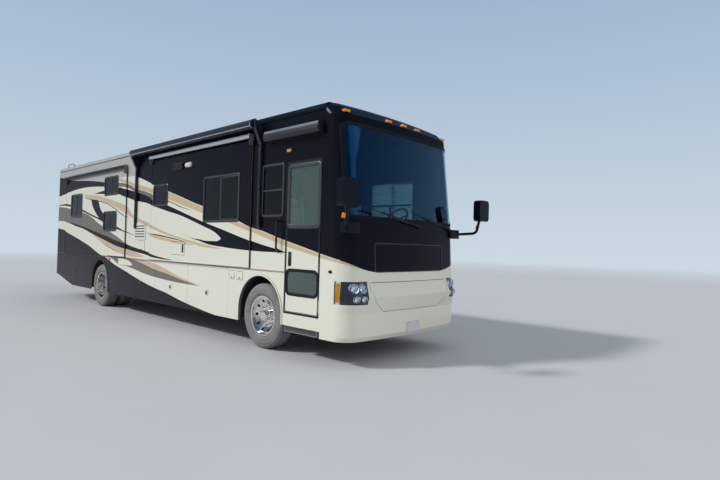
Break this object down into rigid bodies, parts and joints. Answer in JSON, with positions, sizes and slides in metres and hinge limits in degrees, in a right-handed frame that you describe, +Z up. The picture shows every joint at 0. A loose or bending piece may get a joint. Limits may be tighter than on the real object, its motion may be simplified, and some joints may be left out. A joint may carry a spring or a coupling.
{
  "type": "motorhome",
  "caption": "Full-size motorhome coach with raked curved windscreen, slide-out rooms, lift-up baggage doors, entry door, awnings and twin rear wheels.",
  "frame": {"origin": "centre of the whole vehicle's box, on the ground", "axes": "+X forward, +Y towards the driver's side, +Z up"},
  "size_m": [11.826, 3.432, 3.83],
  "materials": {
    "body_paint": "gloss, cream with dark and tan stripes",
    "cap_paint": "gloss gel coat",
    "roof_white": "satin moulded roof",
    "floor_board": "sealed underside and carpet",
    "chassis_black": "satin black",
    "cast_grey": "painted casting",
    "tyre_rubber": "dusty rubber",
    "wheel_chrome": "bright chrome",
    "window_glass": "dark tinted",
    "screen_glass": "lightly tinted",
    "lamp_housing": "bright reflector housing",
    "lamp_clear": "clear lens over bright reflector",
    "lamp_amber": "amber lens",
    "lamp_red": "red lens",
    "black_plastic": "satin black",
    "bright_rail": "polished tube",
    "dash_vinyl": "soft-touch vinyl",
    "seat_leather": "tan leather",
    "tank_black": "moulded tank"
  },
  "bodies": {
    "coach": {"right_wall": "body_paint", "left_wall": "body_paint", "skirt_panels": "body_paint", "roof": "roof_white", "roof_units": "roof_white", "floor": "floor_board", "stepwell": "floor_board", "front_cap": "cap_paint", "front_bumper": "cap_paint", "rear_cap": "cap_paint", "windshield": "screen_glass", "side_glass": "window_glass", "headlamps": "lamp_housing", "headlamp_lenses": "lamp_clear", "marker_lamps": "lamp_amber", "tail_lamps": "lamp_red", "basement": "chassis_black", "chassis_frame": "chassis_black", "front_axle": "cast_grey", "rear_axle": "cast_grey", "engine": "cast_grey", "generator": "chassis_black", "fuel_tank": "tank_black", "awnings": "black_plastic", "mirrors": "black_plastic", "wipers": "black_plastic", "handrails": "bright_rail", "dashboard": "dash_vinyl", "steering_wheel": "black_plastic", "front_seats": "seat_leather"},
    "right_steering": {"right_knuckle": "cast_grey"},
    "front_right_wheel": {"front_right_tyre": "tyre_rubber", "front_right_rim": "wheel_chrome"},
    "rear_right_wheels": {"rear_right_tyres": "tyre_rubber", "rear_right_rims": "wheel_chrome"},
    "left_steering": {"left_knuckle": "cast_grey"},
    "front_left_wheel": {"front_left_tyre": "tyre_rubber", "front_left_rim": "wheel_chrome"},
    "rear_left_wheels": {"rear_left_tyres": "tyre_rubber", "rear_left_rims": "wheel_chrome"},
    "entry_door": {"entry_door": "body_paint", "entry_door_glass": "window_glass"},
    "entry_step": {"entry_step": "black_plastic"},
    "right_bay_door_1": {"right_bay_door_1": "body_paint"},
    "right_bay_door_2": {"right_bay_door_2": "body_paint"},
    "right_bay_door_3": {"right_bay_door_3": "body_paint"},
    "right_rear_bay_door": {"right_rear_bay_door": "body_paint"},
    "left_bay_door_1": {"left_bay_door_1": "body_paint"},
    "left_bay_door_2": {"left_bay_door_2": "body_paint"},
    "left_bay_door_3": {"left_bay_door_3": "body_paint"},
    "front_hatch": {"front_hatch": "cap_paint"},
    "engine_door": {"engine_door": "cap_paint"},
    "right_living_room": {"right_living_slide": "body_paint", "right_living_slide_glass": "window_glass"},
    "right_bedroom_room": {"right_bedroom_slide": "body_paint", "right_bedroom_slide_glass": "window_glass"},
    "left_living_room": {"left_living_slide": "body_paint", "left_living_slide_glass": "window_glass"}
  },
  "joints": [
    {"name": "steer_right", "type": "hinge", "parent": "coach", "child": "right_steering", "pos_m": [3.775, -1.02, 0.49], "axis": [0, 0, 1], "range_deg": [-42, 42]},
    {"name": "steer_left", "type": "hinge", "parent": "coach", "child": "left_steering", "pos_m": [3.775, 1.02, 0.49], "axis": [0, 0, 1], "range_deg": [-42, 42]},
    {"name": "front_right_wheel_spin", "type": "hinge", "parent": "right_steering", "child": "front_right_wheel", "pos_m": [3.775, -1.12, 0.49], "axis": [0, 1, 0], "continuous": true},
    {"name": "rear_right_wheels_spin", "type": "hinge", "parent": "coach", "child": "rear_right_wheels", "pos_m": [-2.588, -0.95, 0.49], "axis": [0, 1, 0], "continuous": true},
    {"name": "front_left_wheel_spin", "type": "hinge", "parent": "left_steering", "child": "front_left_wheel", "pos_m": [3.775, 1.12, 0.49], "axis": [0, 1, 0], "continuous": true},
    {"name": "rear_left_wheels_spin", "type": "hinge", "parent": "coach", "child": "rear_left_wheels", "pos_m": [-2.588, 0.95, 0.49], "axis": [0, 1, 0], "continuous": true},
    {"name": "entry_door_hinge", "type": "hinge", "parent": "coach", "child": "entry_door", "pos_m": [5.066, -1.2865, 1.7], "axis": [0, 0, 1], "range_deg": [0, 90]},
    {"name": "entry_step_slide", "type": "slide", "parent": "coach", "child": "entry_step", "axis": [0, -1, 0], "range_m": [0, 0.28]},
    {"name": "right_bay_door_1_hinge", "type": "hinge", "parent": "coach", "child": "right_bay_door_1", "pos_m": [2.235, -1.2865, 1.16], "axis": [-1, 0, 0], "range_deg": [0, 80]},
    {"name": "right_bay_door_2_hinge", "type": "hinge", "parent": "coach", "child": "right_bay_door_2", "pos_m": [0.925, -1.2865, 1.16], "axis": [-1, 0, 0], "range_deg": [0, 80]},
    {"name": "right_bay_door_3_hinge", "type": "hinge", "parent": "coach", "child": "right_bay_door_3", "pos_m": [-0.375, -1.2865, 1.16], "axis": [-1, 0, 0], "range_deg": [0, 80]},
    {"name": "right_rear_bay_door_hinge", "type": "hinge", "parent": "coach", "child": "right_rear_bay_door", "pos_m": [-4.275, -1.2865, 1.16], "axis": [-1, 0, 0], "range_deg": [0, 80]},
    {"name": "left_bay_door_1_hinge", "type": "hinge", "parent": "coach", "child": "left_bay_door_1", "pos_m": [2.235, 1.2865, 1.16], "axis": [1, 0, 0], "range_deg": [0, 80]},
    {"name": "left_bay_door_2_hinge", "type": "hinge", "parent": "coach", "child": "left_bay_door_2", "pos_m": [0.925, 1.2865, 1.16], "axis": [1, 0, 0], "range_deg": [0, 80]},
    {"name": "left_bay_door_3_hinge", "type": "hinge", "parent": "coach", "child": "left_bay_door_3", "pos_m": [-0.375, 1.2865, 1.16], "axis": [1, 0, 0], "range_deg": [0, 80]},
    {"name": "front_hatch_hinge", "type": "hinge", "parent": "coach", "child": "front_hatch", "pos_m": [5.66, 0, 1.098], "axis": [0, -1, 0], "range_deg": [0, 75]},
    {"name": "engine_door_hinge", "type": "hinge", "parent": "coach", "child": "engine_door", "pos_m": [-5.829, 0, 1.555], "axis": [0, 1, 0], "range_deg": [0, 75]},
    {"name": "right_living_room_slide", "type": "slide", "parent": "coach", "child": "right_living_room", "axis": [0, -1, 0], "range_m": [0, 0.65]},
    {"name": "right_bedroom_room_slide", "type": "slide", "parent": "coach", "child": "right_bedroom_room", "axis": [0, -1, 0], "range_m": [0, 0.55]},
    {"name": "left_living_room_slide", "type": "slide", "parent": "coach", "child": "left_living_room", "axis": [0, 1, 0], "range_m": [0, 0.75]}
  ],
  "couplings": [
    {"joint": "steer_left", "follows": "steer_right", "ratio": 1}
  ]
}
